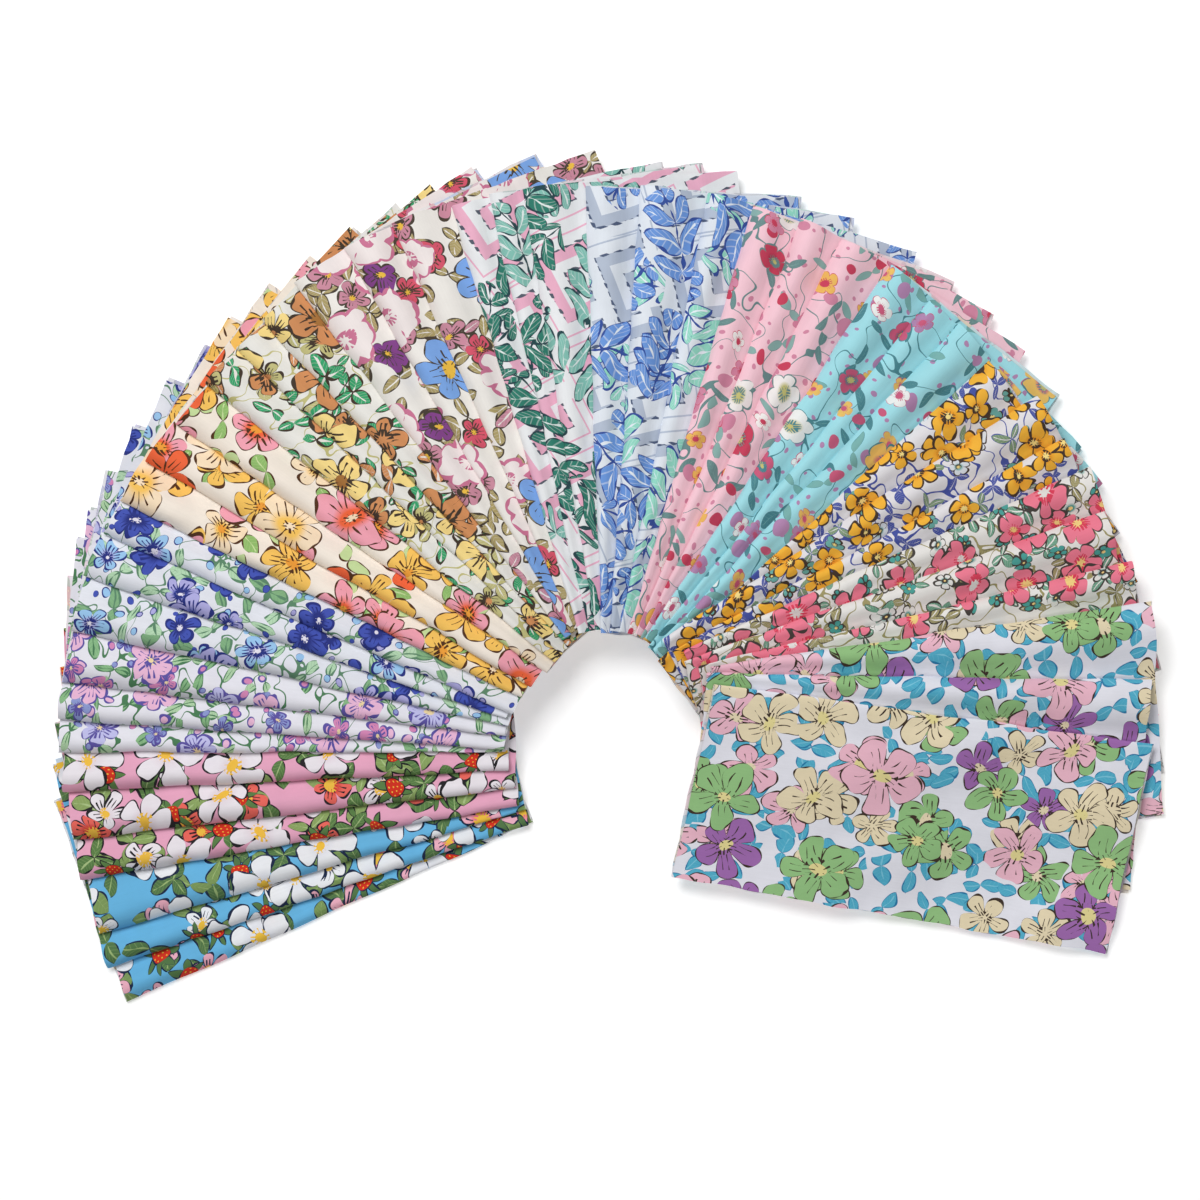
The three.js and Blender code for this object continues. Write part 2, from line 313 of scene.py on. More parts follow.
def fold_square(laying, beyond, sizes):
    """Folds one square of cloth, from a flat grid, and gives it its thickness."""
    bpy.ops.object.select_all(action="DESELECT")
    bpy.ops.mesh.primitive_grid_add(x_subdivisions=CELLS_ALONG, y_subdivisions=2 * CELLS_OUT, size=2)
    piece = bpy.context.object
    piece.name = piece.data.name = laying.piece
    mesh = piece.data
    flat = np.empty(3 * len(mesh.vertices))
    mesh.vertices.foreach_get("co", flat)
    flat = flat.reshape(-1, 3)
    along, turned = (flat[:, 0] + 1) / 2, -flat[:, 1]
    side = np.where(turned > 0, 1, -1)
    out = np.abs(turned) ** CROWDING
    places = cloth_shape(laying, beyond, along, side, out, sizes) * MM
    mesh.vertices.foreach_set("co", places.ravel())
    faces_on_right_side = len(mesh.polygons)

    thickness = piece.modifiers.new("Thickness", "SOLIDIFY")
    thickness.thickness = sizes.thickness
    thickness.offset = 0
    bpy.ops.object.modifier_apply(modifier=thickness.name)
    bpy.ops.object.shade_smooth_by_angle(angle=math.radians(SMOOTH_ANGLE))

    bolt = np.stack([along, (1 + side * out) / 2], axis=-1)
    bolt = np.concatenate([bolt, bolt])
    corners = np.empty(len(mesh.loops), dtype=int)
    mesh.loops.foreach_get("vertex_index", corners)
    mesh.uv_layers.active.name = "cloth"
    mesh.uv_layers.active.data.foreach_set("uv", bolt[corners].ravel())
    cut_from = np.array([37 * laying.order, 91 * laying.order % SQUARE])
    on_bolt = np.zeros((len(bolt), 3))
    on_bolt[:, :2] = bolt * SQUARE + cut_from
    place_on_bolt = mesh.attributes.new("place_on_bolt", "FLOAT_VECTOR", "POINT")
    place_on_bolt.data.foreach_set("vector", on_bolt.ravel())
    reverse = np.zeros(len(mesh.polygons))
    reverse[faces_on_right_side : 2 * faces_on_right_side] = 1
    mesh.attributes.new("reverse", "FLOAT", "FACE").data.foreach_set("value", reverse)
    return piece


def lay_print(print_name, material):
    """Folds and lays a print's three squares, each on the square before it."""
    sizes = bpy.context.scene.fabric_fan
    for laying in LAYINGS:
        if laying.print_name != print_name:
            continue
        beyond = LAYINGS[laying.order + 1] if laying.order + 1 < len(LAYINGS) else None
        piece = fold_square(laying, beyond, sizes)
        piece.data.materials.append(material)
        under = LAYINGS[laying.order - 1].piece if laying.order else "table"
        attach(piece, "root")
        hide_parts(laying.node)


def linear(code):
    """A screen colour such as ff8800, as the numbers that a shader takes."""
    values = [int(code[n : n + 2], 16) / 255 for n in (0, 2, 4)]
    return tuple(v / 12.92 if v <= 0.04045 else ((v + 0.055) / 1.055) ** 2.4 for v in values)


def plug(tree, socket, value):
    """Wires a value to a socket, or sets the socket to a plain number or colour."""
    if isinstance(value, Value):
        tree.links.new(value.socket, socket)
    elif socket.type == "RGBA" and len(value) == 3:
        socket.default_value = (*value, 1)
    else:
        socket.default_value = value


class Value:
    """Something that varies over the cloth. Sums done with it are written as nodes."""

    def __init__(self, tree, socket):
        self.tree = tree
        self.socket = socket

    def work(self, operation, *others):
        """The outcome of a Math node that takes this value first."""
        node = self.tree.nodes.new("ShaderNodeMath")
        node.operation = operation
        for socket, value in zip(node.inputs, (self, *others)):
            plug(self.tree, socket, value)
        return Value(self.tree, node.outputs[0])

    def __add__(self, other):
        return self.work("ADD", other)

    def __sub__(self, other):
        return self.work("SUBTRACT", other)

    def __rsub__(self, other):
        return self.work("MULTIPLY_ADD", -1.0, other)

    def __mul__(self, other):
        return self.work("MULTIPLY", other)

    def __truediv__(self, other):
        return self.work("DIVIDE", other)

    def __pow__(self, other):
        return self.work("POWER", other)

    def __mod__(self, other):
        return self.work("FLOORED_MODULO", other)

    def __lt__(self, other):
        return self.work("LESS_THAN", other)

    def __gt__(self, other):
        return self.work("GREATER_THAN", other)

    def __abs__(self):
        return self.work("ABSOLUTE")

    def near(self, other, reach):
        """One where this value is within reach of the other, and nought elsewhere."""
        return self.work("COMPARE", other, reach)

    def cos(self):
        """Its cosine."""
        return self.work("COSINE")

    def sin(self):
        """Its sine."""
        return self.work("SINE")

    def least(self, other):
        """The lesser of this value and the other."""
        return self.work("MINIMUM", other)

    def most(self, other):
        """The greater of this value and the other."""
        return self.work("MAXIMUM", other)


class Nodes:
    """A node tree, with short ways to write the nodes that the prints use."""

    def __init__(self, tree):
        self.tree = tree

    def node(self, kind, settings, inputs):
        """Adds a node, with its settings by their names and its inputs by their names or numbers."""
        node = self.tree.nodes.new(kind)
        for name, value in settings.items():
            setattr(node, name, value)
        for name, value in inputs.items():
            plug(self.tree, node.inputs[name], value)
        return node

    def out(self, node, name=0):
        """One of the values that a node puts out."""
        return Value(self.tree, node.outputs[name])

    def vector(self, operation, first, second=None):
        """The outcome of a Vector Math node."""
        inputs = {0: first} if second is None else {0: first, 1: second}
        node = self.node("ShaderNodeVectorMath", {"operation": operation}, inputs)
        return self.out(node, "Value" if operation == "LENGTH" else "Vector")

    def parts(self, vector):
        """A vector's first two parts: sideways and up."""
        node = self.node("ShaderNodeSeparateXYZ", {}, {0: vector})
        return self.out(node, 0), self.out(node, 1)

    def turned(self, vector, angle):
        """The vector turned round the upright axis."""
        settings = {"rotation_type": "Z_AXIS"}
        return self.out(self.node("ShaderNodeVectorRotate", settings, {"Vector": vector, "Angle": angle}))

    def noise(self, vector, scale, detail):
        """Soft clouds on the flat cloth: how many a millimetre, and how finely broken up."""
        inputs = {"Vector": vector, "Scale": scale, "Detail": detail}
        return self.node("ShaderNodeTexNoise", {"noise_dimensions": "2D"}, inputs)

    def mixed(self, share, under, over):
        """One colour laid over another, as strongly as the share says."""
        node = self.node("ShaderNodeMix", {"data_type": "RGBA"}, {0: share, 6: under, 7: over})
        return self.out(node, 2)


# How many cells a layer's grid is moved for each radian that it is turned, so that no two line up.
GRID_SHIFT = (53.7, 31.9, 0.0)

# Where a petal's middle is, as a share of the flower's radius.
PETAL_MIDDLE = 0.53

# How much of the way from one side rib of a leaf to the next is rib, in plain leaves and in sprays.
RIB_SHARE = 0.16
SPRAY_RIB_SHARE = 0.2

# Added to a distance, this leaves out the motifs that are not to be drawn.
FAR_OFF = 999.0

# How many thick places in the threads a millimetre, along the threads and across them.
SLUB_SCALES = (0.05, 0.9, 0.0)

# How far apart the dashes on the bands are, in millimetres, and how much of that each one fills.
DASH_PITCH = 5.0
DASH_SHARE = 0.62

# The pale reverse of the cloth, and how strongly it hides the print.
REVERSE_COLOUR = (0.83, 0.82, 0.83)
REVERSE_FADING = 0.62

SOCKETS = {"Vector": "NodeSocketVector", "Colour": "NodeSocketColor", "Value": "NodeSocketFloat"}


class Group(Nodes):
    """A shader node group with named inputs and outputs. Taken holds what comes in, in order."""

    def __init__(self, name, inputs, outputs):
        super().__init__(bpy.data.node_groups.new(name, "ShaderNodeTree"))
        for way, sockets in (("INPUT", inputs), ("OUTPUT", outputs)):
            for kind, names in sockets.items():
                for each in names:
                    self.tree.interface.new_socket(each, in_out=way, socket_type=SOCKETS[kind])
        taken = self.tree.nodes.new("NodeGroupInput").outputs
        self.taken = [Value(self.tree, taken[each]) for names in inputs.values() for each in names]
        self.outputs = self.tree.nodes.new("NodeGroupOutput").inputs

    def give(self, **values):
        """Wires what the group puts out."""
        for name, value in values.items():
            plug(self.tree, self.outputs[name.replace("_", " ")], value)


def motif_group(name, colours, sizes):
    """A group that draws scattered motifs over what is under them, with a pen of its own thickness."""
    inputs = {"Colour": ["Under", *colours], "Vector": ["Spot"], "Value": ["Chance", "Share", "Pen", *sizes]}
    return Group(name, inputs, {"Colour": ["Print"]})


def scatter_group():
    """Finds the nearest of many scattered motifs, and the place as seen from that motif's middle."""
    group = Group(
        "Scatter",
        {"Vector": ["Cloth"], "Value": ["Spacing", "Turn", "Unevenness", "Spin"]},
        {"Vector": ["Spot"], "Value": ["Chance", "Tint"]},
    )
    cloth, spacing, turn, unevenness, spin = group.taken
    place = group.vector("DIVIDE", group.turned(cloth, turn), spacing)
    place = group.vector("ADD", place, group.vector("MULTIPLY", turn, GRID_SHIFT))
    cells = group.node(
        "ShaderNodeTexVoronoi",
        {"voronoi_dimensions": "2D"},
        {"Vector": place, "Scale": 1.0, "Randomness": unevenness},
    )
    spot = group.vector("MULTIPLY", group.vector("SUBTRACT", place, group.out(cells, "Position")), spacing)
    luck = group.node("ShaderNodeSeparateColor", {}, {0: group.out(cells, "Color")})
    spot = group.turned(spot, group.out(luck, 0) * spin)
    group.give(Spot=spot, Chance=group.out(luck, 1), Tint=group.out(luck, 2))
    return group.tree


def in_sector(group, spot, count):
    """Folds a round motif onto one of its petals: how far out, how far along it and across it."""
    side, up = group.parts(spot)
    out = group.vector("LENGTH", spot)
    sector = count**-1.0 * (2 * math.pi)
    angle = (up.work("ARCTAN2", side) + sector * 0.5) % sector - sector * 0.5
    return out, out * angle.cos(), abs(out * angle.sin())


def flower_group():
    """Draws a flower: round petals with ink round them, a few strokes on them, a heart and stamens."""
    colours = ["Petal", "Deep", "Heart", "Stamen", "Ink"]
    sizes = ["Radius", "Petals", "Plumpness", "Heart Size", "Strokes"]
    group = motif_group("Flower", colours, sizes)
    under, petal, deep, heart, stamen, ink, spot = group.taken[:7]
    chance, share, pen, radius, petals, plumpness, heart_size, strokes = group.taken[7:]
    out, along, across = in_sector(group, group.vector("DIVIDE", spot, radius), petals)
    width = plumpness * (along * 0.42 + 0.2)
    past = (((along - PETAL_MIDDLE) / (1 - PETAL_MIDDLE)) ** 2.0 + (across / width) ** 2.0) ** 0.5 - 1.0
    past = past + (chance > share) * FAR_OFF
    line = pen / radius
    inside = past < 0.0
    outline = past.near(line * -0.9, line * 1.15)
    stroke = across.near(0.1, line * 0.4) * along.near(0.5, 0.17) * strokes * inside
    drawn = group.mixed(((0.52 - out) * 4.0).least(1.0).most(0.0), petal, deep)
    drawn = group.mixed(inside, under, drawn)
    drawn = group.mixed(outline.most(stroke), drawn, ink)
    present = chance < share
    drawn = group.mixed((out < heart_size) * present, drawn, heart)
    stamens = across.near(0.0, line * 0.55).most(across.near(0.13, line * 0.55))
    stamens = stamens * out.near(heart_size * 1.1, heart_size * 0.55)
    drawn = group.mixed(stamens * present, drawn, stamen)
    group.give(Print=drawn)
    return group.tree


def leaf_group():
    """Draws leaves that stand round a point: one alone, or a few."""
    group = motif_group("Leaves", ["Leaf", "Vein", "Ink"], ["Length", "Width", "Count"])
    under, leaf, vein, ink, spot, chance, share, pen, length, width, count = group.taken
    _, along, across = in_sector(group, spot, count)
    along = along / length
    bulge = (along * (1.0 - along) * 4.0).most(0.0) ** 0.7
    half = bulge * width * 0.5 - (chance > share) * FAR_OFF
    past = across - half
    inside = past < 0.0
    outline = past.near(pen * -0.3, pen * 0.5) * along.near(0.5, 0.53)
    rib = (across < pen * 0.4) * inside * (along < 0.85)
    ribs = ((along * 6.0 - across / width * 3.0) % 1.0 < RIB_SHARE) * inside
    drawn = group.mixed(inside, under, leaf)
    drawn = group.mixed(ribs * 0.3, drawn, vein)
    drawn = group.mixed(rib, drawn, vein)
    drawn = group.mixed(outline, drawn, ink)
    group.give(Print=drawn)
    return group.tree


def spray_group():
    """Draws a curved stem with leaves on both sides of it, like a feather."""
    colours = ["Leaf", "Vein", "Ink"]
    sizes = ["Half Length", "Leaf Length", "Leaf Width", "Pitch", "Curve"]
    group = motif_group("Leaf Spray", colours, sizes)
    under, leaf, vein, ink, spot = group.taken[:5]
    chance, share, pen, half, leaf_length, leaf_width, pitch, curve = group.taken[5:]
    side, up = group.parts(spot)
    reach = side / half
    up = up + reach * reach * curve
    away = abs(up)
    taper = (1.0 - reach * reach).most(0.0) ** 0.5
    slanted = side - away * 0.75
    across = abs(slanted % pitch - pitch * 0.5)
    along = away / (leaf_length * taper + 0.01)
    bulge = (along * (1.0 - along) * 4.0).most(0.0) ** 0.75
    width = bulge * leaf_width * 0.5 - (chance > share) * FAR_OFF
    past = across - width
    inside = past < 0.0
    outline = past.near(pen * -0.3, pen * 0.5) * along.near(0.5, 0.53) * (abs(reach) < 1.0)
    rib = (across < pen * 0.45) * inside * (along < 0.8)
    ribs = ((along * 5.0 - across / leaf_width * 3.0) % 1.0 < SPRAY_RIB_SHARE) * inside
    stem = (away < pen * 0.55) * (abs(reach) < 0.95) * (chance < share)
    drawn = group.mixed(inside, under, leaf)
    drawn = group.mixed((ribs * 0.35).most(rib), drawn, vein)
    drawn = group.mixed(outline.most(stem), drawn, ink)
    group.give(Print=drawn)
    return group.tree


def round_group():
    """Draws a round motif with ink round it, such as a dot, a berry or a bud."""
    group = motif_group("Round", ["Fill", "Ink"], ["Radius"])
    under, fill, ink, spot, chance, share, pen, radius = group.taken
    out = group.vector("LENGTH", spot) / radius + (chance > share) * FAR_OFF
    drawn = group.mixed(out < 1.0, under, fill)
    drawn = group.mixed(out.near(0.95, pen * 0.5 / radius), drawn, ink)
    group.give(Print=drawn)
    return group.tree


def strawberry_group():
    """Draws a strawberry with its seeds."""
    group = motif_group("Strawberry", ["Berry", "Seed", "Ink"], ["Radius"])
    under, berry, seed, ink, spot, chance, share, pen, radius = group.taken
    side, up = group.parts(group.vector("DIVIDE", spot, radius))
    taper = up * 0.2 + 0.85
    out = ((side / taper) ** 2.0 + up * up) ** 0.5 + (chance > share) * FAR_OFF
    row = up * 2.4
    shift = row.work("FLOOR") * 0.5
    seeds = ((side * 2.2 + shift) % 1.0).near(0.5, 0.13) * (row % 1.0).near(0.5, 0.17)
    drawn = group.mixed(out < 1.0, under, berry)
    drawn = group.mixed(seeds * (out < 0.85), drawn, seed)
    drawn = group.mixed(out.near(0.97, pen * 0.45 / radius), drawn, ink)
    group.give(Print=drawn)
    return group.tree


def band_group():
    """Draws square bands inside each other, each with a gap in one side."""
    group = Group(
        "Square Bands",
        {
            "Colour": ["Under", "Band", "Dash"],
            "Vector": ["Spot"],
            "Value": ["Radius", "Pitch", "Share of Pitch", "Pen"],
        },
        {"Colour": ["Print"]},
    )
    under, band, dash, spot, radius, pitch, share, pen = group.taken
    side, up = group.parts(spot)
    out = abs(side).most(abs(up))
    inside = out < radius
    row = out / pitch
    stripe = (row % 1.0 < share) * inside
    opening = (abs(side) < pitch * 0.4) * (up > 0.0)
    drawn = group.mixed(stripe * (1.0 - opening), under, band)
    edge = (row % 1.0).near(share, pen / pitch * 0.5) * inside * (1.0 - opening)
    dashes = ((side + up * 0.6) / DASH_PITCH % 1.0) < DASH_SHARE
    drawn = group.mixed(edge * dashes, drawn, dash)
    group.give(Print=drawn)
    return group.tree


def stem_group():
    """Draws long thin stems that wander between the flowers."""
    group = Group(
        "Stems",
        {"Colour": ["Under", "Stem"], "Vector": ["Cloth"], "Value": ["Spacing", "Width"]},
        {"Colour": ["Print"]},
    )
    under, stem, cloth, spacing, width = group.taken
    place = group.vector("DIVIDE", cloth, spacing)
    line = group.out(group.noise(place, 1.0, 1.0)).near(0.5, width / spacing * 0.24)
    group.give(Print=group.mixed(line, under, stem))
    return group.tree


def cotton_group():
    """The weave of printed cotton: its threads' height, and the print's colour with painted shade, darker
    where the threads dip.
    """
    group = Group(
        "Cotton",
        {"Colour": ["Print"], "Vector": ["Cloth"], "Value": ["Thread Pitch", "Reverse"]},
        {"Colour": ["Cloth Colour"], "Value": ["Height", "Roughness"]},
    )
    drawn, cloth, pitch, reverse = group.taken
    side, up = group.parts(group.vector("DIVIDE", cloth, pitch))
    warp = (side * 2 * math.pi).cos()
    weft = (up * 2 * math.pi).cos()
    over = (side + up).work("FLOOR") % 2.0
    thread = warp * over + weft * (1.0 - over)
    slub = group.out(group.noise(group.vector("MULTIPLY", cloth, SLUB_SCALES), 1.0, 2.0))
    wash = group.out(group.noise(cloth, 0.09, 3.0))
    # Painted shade: the colour is lighter on the raised threads and darker where they dip, following the
    # same height as the bump. It is also a few per cent lighter along the slubs, and it varies with the
    # cloudiness.
    shade = thread * 0.035 + slub * 0.06 + wash * 0.1 + 0.92
    faded = group.mixed(reverse * REVERSE_FADING, drawn, REVERSE_COLOUR)
    height = thread * 0.5 + slub * 0.7
    colour_with_painted_shade = group.vector("MULTIPLY", faded, shade)
    group.give(Cloth_Colour=colour_with_painted_shade, Height=height, Roughness=wash * 0.16 + 0.76)
    return group.tree
GROUPS = {
    "scatter": scatter_group,
    "flower": flower_group,
    "leaves": leaf_group,
    "spray": spray_group,
    "round": round_group,
    "strawberry": strawberry_group,
    "bands": band_group,
    "stems": stem_group,
    "cotton": cotton_group,
}


@functools.cache
def group_tree(kind):
    """A node group, built the first time that a print asks for it."""
    return GROUPS[kind]()


# How the lines of a hand drawing stray: how many waves a millimetre, and how far in millimetres.
HAND_SCALE = 0.06
HAND_DRIFT = (7.0, 7.0, 0.0)

# How the pen's lines swell and thin: how many waves a millimetre, how strongly, and from what level.
STROKE_SCALE = 0.17
STROKE_CHANGE = 2.6
STROKE_LEVEL = 0.22

# The cotton's weave: how far apart its threads are, in millimetres, and how deep, in metres.
THREAD_PITCH = 0.42
THREAD_DEPTH = 0.0001


class Print(Nodes):
    """A print on cotton: a ground colour, and motifs drawn over it one layer at a time.

    Each layer takes the spacing of its motifs and the turn of their grid, then the sizes of one motif,
    all in millimetres and radians, and then its colours. Share is how many of the motifs are drawn, pen is
    how thick their lines are, and unevenness is how far the motifs stray from their grid."""

    def __init__(self, name, colours):
        self.material = bpy.data.materials.new(name)
        self.material.use_nodes = True
        super().__init__(self.material.node_tree)
        self.colours = colours
        self.drawn = tuple(colours.ground)
        bolt = self.node("ShaderNodeAttribute", {"attribute_name": "place_on_bolt"}, {})
        self.flat = self.out(bolt, "Vector")
        hand = self.noise(self.flat, HAND_SCALE, 0.0)
        drift = self.vector("SUBTRACT", self.out(hand, "Color"), (0.5, 0.5, 0.5))
        self.cloth = self.vector("ADD", self.flat, self.vector("MULTIPLY", drift, HAND_DRIFT))
        stroke = self.noise(self.flat, STROKE_SCALE, 0.0)
        self.stroke = (self.out(stroke) - STROKE_LEVEL) * STROKE_CHANGE

    def group(self, kind, inputs):
        """Adds a node group, with its inputs by their names."""
        node = self.tree.nodes.new("ShaderNodeGroup")
        node.node_tree = group_tree(kind)
        for name, value in inputs.items():
            plug(self.tree, node.inputs[name.replace("_", " ")], value)
        return node

    def draw(self, kind, **inputs):
        """Draws one layer over all that is drawn so far."""
        self.drawn = self.out(self.group(kind, {"Under": self.drawn, **inputs}))

    def motifs(self, kind, spots, share, pen, **inputs):
        """Draws a share of a layer's scattered motifs with a pen so thick."""
        self.draw(kind, **spots, Share=share, Pen=self.stroke * pen, **inputs)

    def scatter(self, spacing, turn, unevenness=0.62, spin=2 * math.pi, cloth=None):
        """Where a layer's motifs are, and a shade for each that decides its colour and size."""
        cloth = cloth or self.cloth
        node = self.group(
            "scatter",
            {"Cloth": cloth, "Spacing": spacing, "Turn": turn, "Unevenness": unevenness, "Spin": spin},
        )
        return {"Spot": self.out(node, 0), "Chance": self.out(node, 1)}, self.out(node, 2)

    def pick(self, tint, colours):
        """One of a few colours, the same all over a motif."""
        if len(colours) == 1:
            return tuple(colours[0])
        node = self.node("ShaderNodeValToRGB", {}, {0: tint})
        ramp = node.color_ramp
        ramp.interpolation = "CONSTANT"
        while len(ramp.elements) < len(colours):
            ramp.elements.new(0)
        for n, choice in enumerate(colours):
            ramp.elements[n].position = n / len(colours)
            ramp.elements[n].color = (*choice, 1)
        return self.out(node)

    def flowers(
        self, spacing, turn, radius, petal, deep=None, heart=None, ink=None, stamen=None, share=1.0,
        petals=5.0, plump=0.76, heart_size=0.2, pen=0.75, strokes=1.0, unevenness=0.62,
    ):
        """Flowers, with plain petals and the print's own heart and ink where no others are given."""
        heart = heart or self.colours.heart
        ink = ink or self.colours.ink
        spots, tint = self.scatter(spacing, turn, unevenness)
        self.motifs(
            "flower", spots, share, pen, Radius=tint * (0.24 * radius) + 0.8 * radius, Petals=petals,
            Plumpness=plump, Heart_Size=heart_size, Strokes=strokes, Petal=self.pick(tint, petal),
            Deep=self.pick(tint, deep or petal), Heart=tuple(heart), Stamen=tuple(stamen or ink),
            Ink=tuple(ink),
        )

    def leaves(
        self, spacing, turn, length, width, leaf, vein, ink=None, share=1.0, count=3.0, pen=0.75,
        unevenness=0.7,
    ):
        """Leaves, alone or a few round a point."""
        spots, tint = self.scatter(spacing, turn, unevenness)
        self.motifs(
            "leaves", spots, share, pen, Length=length, Width=width, Count=count,
            Leaf=self.pick(tint, leaf), Vein=tuple(vein), Ink=tuple(ink or self.colours.ink),
        )

    def sprays(
        self, spacing, turn, half, leaf_length, leaf_width, pitch, leaf, vein, ink, share=1.0, pen=0.6,
        curve=4.0, unevenness=0.4,
    ):
        """Curved stems with leaves on both sides, each stem so long from its middle to its tip."""
        spots, tint = self.scatter(spacing, turn, unevenness)
        self.motifs(
            "spray", spots, share, pen, Half_Length=half, Leaf_Length=leaf_length, Leaf_Width=leaf_width,
            Pitch=pitch, Curve=curve, Leaf=self.pick(tint, leaf), Vein=tuple(vein), Ink=tuple(ink),
        )

    def rounds(self, spacing, turn, radius, fill, ink=None, share=1.0, pen=0.0, unevenness=0.8):
        """Dots, buds or berries, in one colour each, with a line round them if a pen is given."""
        spots, tint = self.scatter(spacing, turn, unevenness)
        self.motifs(
            "round", spots, share, pen, Radius=tint * (0.4 * radius) + 0.7 * radius,
            Fill=self.pick(tint, fill), Ink=tuple(ink or fill[0]),
        )

    def strawberries(self, spacing, turn, radius, berry, seed, cap, ink, share=1.0, pen=0.7):
        """Strawberries, each on a star of small green leaves."""
        spots, _ = self.scatter(spacing, turn)
        self.motifs(
            "leaves", spots, share, pen, Length=2.1 * radius, Width=0.75 * radius, Count=7.0,
            Leaf=tuple(cap), Vein=tuple(cap), Ink=tuple(ink),
        )
        self.motifs(
            "strawberry", spots, share, pen, Radius=radius, Berry=tuple(berry), Seed=tuple(seed),
            Ink=tuple(ink),
        )

    def bands(self, spacing, turn, radius, pitch, band, dash, width, pen):
        """Square bands inside each other, on an almost even grid."""
        spots, _ = self.scatter(spacing, turn, 0.2, 0.0, self.flat)
        self.draw(
            "bands", Spot=spots["Spot"], Radius=radius, Pitch=pitch, Share_of_Pitch=width,
            Pen=self.stroke * pen, Band=tuple(band), Dash=tuple(dash),
        )

    def stems(self, spacing, width, stem):
        """Long thin stems that wander all over the cloth."""
        self.draw("stems", Cloth=self.cloth, Spacing=spacing, Width=width, Stem=tuple(stem))

    def finish(self):
        """Prints it all on the weave, and gives the cotton its dull finish."""
        reverse = self.node("ShaderNodeAttribute", {"attribute_name": "reverse"}, {})
        cotton = self.group(
            "cotton",
            {
                "Print": self.drawn,
                "Cloth": self.flat,
                "Thread Pitch": THREAD_PITCH,
                "Reverse": self.out(reverse, "Fac"),
            },
        )
        depth = {"Strength": 0.35, "Distance": THREAD_DEPTH, "Height": self.out(cotton, "Height")}
        bump = self.node("ShaderNodeBump", {}, depth)
        shader = self.tree.nodes["Principled BSDF"]
        plug(self.tree, shader.inputs["Base Color"], self.out(cotton, "Cloth Colour"))
        plug(self.tree, shader.inputs["Roughness"], self.out(cotton, "Roughness"))
        plug(self.tree, shader.inputs["Normal"], self.out(bump))
        shader.inputs["Specular IOR Level"].default_value = 0.2
        return self.material


def strawberry_garden(cloth):
    """White and bright flowers with strawberries among leaves, on a plain ground."""
    c = cloth.colours
    small = (c.blossom, c.petal, c.blossom)
    small_deep = (c.blossom_deep, c.petal_deep, c.blossom_deep)
    cloth.leaves(26, 0.4, 15, 10, (c.leaf, c.leaf_dark), c.leaf_light, share=0.85, count=2.0, pen=1.0)
    cloth.leaves(31, 2.9, 13, 8, (c.leaf_dark, c.leaf), c.leaf_light, share=0.7, pen=1.0)
    cloth.flowers(31, 0.9, 12, small, small_deep, stamen=c.heart, share=0.75, pen=1.0)
    cloth.strawberries(33, 2.2, 5.5, c.berry, c.heart, c.leaf_dark, c.ink, share=0.7)
    cloth.flowers(
        48, 1.7, 20, (c.petal,), (c.petal_deep,), stamen=c.heart, share=0.8, heart_size=0.17, pen=1.1,
        strokes=0.0, unevenness=0.5,
    )


def lilac_sprigs(cloth):
    """Fine outlined flowers and buds on thin stems."""
    c = cloth.colours
    cloth.stems(17, 1.0, c.stem)
    cloth.leaves(17, 0.7, 11.5, 5, (c.leaf_pale, c.leaf), c.stem, c.stem, share=0.8, count=2.0, pen=0.9)
    cloth.rounds(12, 1.9, 2.4, (c.bud, c.bud_pink, c.petal_pink), share=0.7, ink=c.ink, pen=1.0)
    cloth.flowers(28, 3.1, 8, (c.bud, c.bud_pink), share=0.6, pen=1.0)
    cloth.flowers(40, 1.2, 13.5, (c.petal, c.petal_pink), share=0.8, petals=6.0, pen=1.3)


def blue_garden(cloth):
    """Royal blue and lavender flowers with outlined leaves."""
    c = cloth.colours
    small = (c.lavender, c.blue, c.light_blue)
    small_deep = (c.blue, c.ink, c.lavender)
    cloth.stems(17, 0.8, c.stem)
    cloth.leaves(19, 2.3, 12.5, 5.8, (c.leaf_pale, c.leaf), c.stem, c.stem, share=0.95, count=2.0, pen=1.1)
    cloth.rounds(12, 0.3, 2.1, (c.blue, c.lavender, c.light_blue), share=0.6, ink=c.ink, pen=0.5)
    cloth.flowers(31, 0.8, 11, small, small_deep, share=0.8, pen=1.2)
    cloth.flowers(43, 2.6, 14, (c.blue, c.lavender), (c.ink, c.blue), share=0.8, petals=6.0, pen=1.3)


def golden_bloom(cloth):
    """Large overlapping flowers in gold, orange and pink."""
    c = cloth.colours
    small_deep = (c.gold, c.coral, c.gold)
    large = (c.gold, c.coral, c.peach, c.pink)
    large_deep = (c.gold, c.coral, c.gold, c.coral)
    cloth.leaves(23, 0.5, 13, 7, (c.leaf, c.leaf_pale), c.leaf_pale, share=0.8, count=2.0, pen=0.8)
    cloth.flowers(38, 1.4, 16, (c.peach, c.pink, c.gold), small_deep, plump=0.8, pen=1.0, unevenness=0.5)
    cloth.flowers(
        52, 2.7, 21.5, large, large_deep, heart=c.peach, share=0.85, plump=0.82, heart_size=0.13, pen=1.0,
        unevenness=0.4,
    )


def meadow(cloth):
    """Pale flowers with brown hearts, tan and khaki sprigs, and bright green leaves."""
    c = cloth.colours
    cloth.stems(17, 0.8, c.khaki)
    cloth.leaves(19, 0.2, 10.5, 5.6, (c.leaf, c.khaki, c.leaf), c.ground, share=0.9, count=2.0, pen=1.1)
    cloth.leaves(27, 1.9, 11.5, 7.2, (c.khaki, c.leaf, c.tan), c.ground, share=0.75, pen=1.1)
    cloth.flowers(
        33, 0.9, 12, (c.khaki, c.tan, c.petal), heart=c.tan, share=0.75, pen=1.1, heart_size=0.25,
        unevenness=0.5,
    )
    cloth.flowers(
        50, 2.2, 19.5, (c.petal, c.petal, c.tan), share=0.75, pen=1.2, heart_size=0.24, plump=0.8,
        unevenness=0.4,
    )


